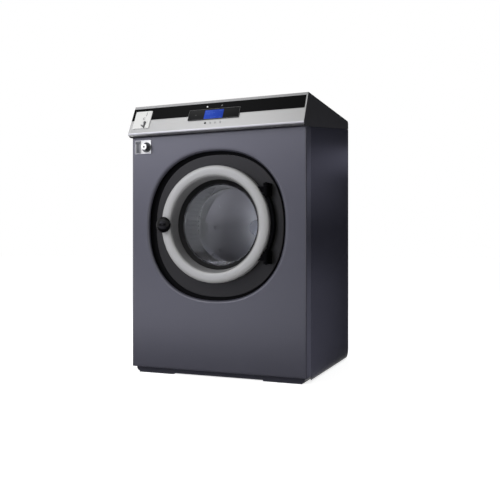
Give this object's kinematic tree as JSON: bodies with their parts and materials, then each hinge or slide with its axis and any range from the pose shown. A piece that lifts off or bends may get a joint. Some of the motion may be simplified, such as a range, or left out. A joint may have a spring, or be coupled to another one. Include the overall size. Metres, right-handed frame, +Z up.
{
  "type": "commercial washing machine",
  "caption": "Coin-operated front-loading commercial washing machine with a round glass door, a slanted console, a coin box and a hard-mounted drum drive.",
  "frame": {"origin": "on the floor, at the centre of the four floor anchor holes, midway between the front and rear panels", "axes": "+X to the right as seen from the front, +Y to the back, +Z up"},
  "size_m": [0.79, 0.7755, 1.169],
  "materials": {
    "steel_frame": "satin dark purple-grey coat",
    "panel_paint": "semi-gloss purple-grey powder coat",
    "side_paint": "semi-gloss dark grey powder coat",
    "zinc_sheet": "zinc-plated sheet",
    "cover_plastic": "fine-grained charcoal moulding",
    "stainless": "brushed stainless steel",
    "gloss_black": "smooth gloss",
    "black_plastic": "satin black moulding",
    "screen_blue": "backlit blue display",
    "circuit_board": "solder-masked board",
    "lamp_lens": "clear lens",
    "key_grey": "satin",
    "coin_white": "white coat",
    "lever_metal": "plated",
    "surround_grey": "satin dark grey coat",
    "hinge_black": "semi-gloss black coat",
    "pin_steel": "ground steel",
    "ring_silver": "satin silver coat on a casting",
    "cone_grey": "dark grey moulding",
    "seal_rubber": "matt black",
    "door_pane": "clear pressed glass",
    "knob_black": "polished black",
    "cast_grey": "painted casting",
    "motor_grey": "painted housing",
    "pulley_alloy": "turned",
    "belt_rubber": "ribbed belt",
    "valve_plastic": "natural moulding",
    "pipe_grey": "grey pipe"
  },
  "bodies": {
    "cabinet": {"base_frame": "steel_frame", "front_panel": "panel_paint", "side_panel_left": "side_paint", "side_panel_right": "side_paint", "rear_panel": "zinc_sheet", "rear_access_cover": "zinc_sheet", "top_cover": "cover_plastic", "console_fascia": "stainless", "fascia_strip": "gloss_black", "control_bezel": "gloss_black", "display_screen": "screen_blue", "control_board": "circuit_board", "indicator_lamps": "lamp_lens", "coin_plate": "coin_white", "coin_acceptor": "black_plastic", "coin_vault": "zinc_sheet", "mouth_recess": "black_plastic", "surround_panel": "surround_grey", "hinge_bracket": "hinge_black", "hinge_pins": "hinge_black", "door_lock": "black_plastic", "mouth_seal": "seal_rubber", "tub_shell": "stainless", "tub_front": "stainless", "tub_back": "stainless", "bearing_housing": "cast_grey", "shaft_bearings": "pin_steel", "shaft_seal": "seal_rubber", "drive_belt": "belt_rubber", "motor": "motor_grey", "drain_valve": "valve_plastic", "drain_pipe": "pipe_grey", "heaters": "pin_steel", "inlet_valves": "valve_plastic", "supply_box": "cover_plastic", "supply_hose": "seal_rubber", "inverter_box": "zinc_sheet"},
    "drum": {"drum_shell": "stainless", "drum_back": "stainless", "drum_lifters": "stainless", "drum_shaft": "pin_steel", "drum_pulley": "pulley_alloy"},
    "motor_rotor": {"motor_pulley": "pulley_alloy"},
    "door": {"door_ring": "ring_silver", "door_frame": "hinge_black", "door_cone": "cone_grey", "glass_gasket": "seal_rubber", "door_glass": "door_pane"},
    "knob": {"door_knob": "knob_black", "latch_spindle": "pin_steel"},
    "bolt": {"lock_bolt": "pin_steel"},
    "coin_drawer": {"coin_box": "stainless"},
    "coin_barrel": {"coin_lock": "lever_metal"},
    "coin_lever": {"coin_return_lever": "lever_metal"},
    "key_a": {"key_1": "key_grey"},
    "key_b": {"key_2": "key_grey"},
    "key_c": {"key_3": "key_grey"},
    "key_d": {"key_4": "key_grey"},
    "lid": {"supply_lid": "cover_plastic"},
    "ball": {"drain_ball": "stainless"}
  },
  "joints": [
    {"name": "drum_spin", "type": "hinge", "parent": "cabinet", "child": "drum", "pos_m": [0, 0, 0.638], "axis": [0, 1, 0], "continuous": true},
    {"name": "motor_spin", "type": "hinge", "parent": "cabinet", "child": "motor_rotor", "pos_m": [0, 0.3, 0.174], "axis": [0, 1, 0], "continuous": true},
    {"name": "door_swing", "type": "hinge", "parent": "cabinet", "child": "door", "pos_m": [0.231, -0.362, 0.638], "axis": [0, 0, 1], "range_deg": [0, 160]},
    {"name": "knob_turn", "type": "hinge", "parent": "door", "child": "knob", "pos_m": [-0.223, -0.37, 0.638], "axis": [0, -1, 0], "range_deg": [0, 90]},
    {"name": "bolt_slide", "type": "slide", "parent": "cabinet", "child": "bolt", "axis": [0, -1, 0], "range_m": [0, 0.011]},
    {"name": "coin_box_slide", "type": "slide", "parent": "cabinet", "child": "coin_drawer", "axis": [0, -1, 0], "range_m": [0, 0.12]},
    {"name": "coin_lock_turn", "type": "hinge", "parent": "coin_drawer", "child": "coin_barrel", "pos_m": [-0.321, -0.35, 0.97295], "axis": [0, -1, 0], "range_deg": [0, 90]},
    {"name": "coin_lever_swing", "type": "hinge", "parent": "cabinet", "child": "coin_lever", "pos_m": [-0.3235, -0.36492, 1.07862], "axis": [0, -0.898, 0.4399], "range_deg": [0, 20], "stiffness_Nm_per_rad": 0.06, "springref_deg": -11.46},
    {"name": "key_1_press", "type": "slide", "parent": "cabinet", "child": "key_a", "axis": [0, 0.898, -0.4399], "range_m": [0, 0.0012], "stiffness_N_per_m": 500, "springref_m": -0.001},
    {"name": "key_2_press", "type": "slide", "parent": "cabinet", "child": "key_b", "axis": [0, 0.898, -0.4399], "range_m": [0, 0.0012], "stiffness_N_per_m": 500, "springref_m": -0.001},
    {"name": "key_3_press", "type": "slide", "parent": "cabinet", "child": "key_c", "axis": [0, 0.898, -0.4399], "range_m": [0, 0.0012], "stiffness_N_per_m": 500, "springref_m": -0.001},
    {"name": "key_4_press", "type": "slide", "parent": "cabinet", "child": "key_d", "axis": [0, 0.898, -0.4399], "range_m": [0, 0.0012], "stiffness_N_per_m": 500, "springref_m": -0.001},
    {"name": "lid_swing", "type": "hinge", "parent": "cabinet", "child": "lid", "pos_m": [0, 0.184, 1.165], "axis": [-1, 0, 0], "range_deg": [0, 100]},
    {"name": "ball_turn", "type": "hinge", "parent": "cabinet", "child": "ball", "pos_m": [0, -0.14, 0.22075], "axis": [1, 0, 0], "range_deg": [0, 90]}
  ],
  "couplings": [
    {"joint": "motor_spin", "follows": "drum_spin", "ratio": 8}
  ]
}
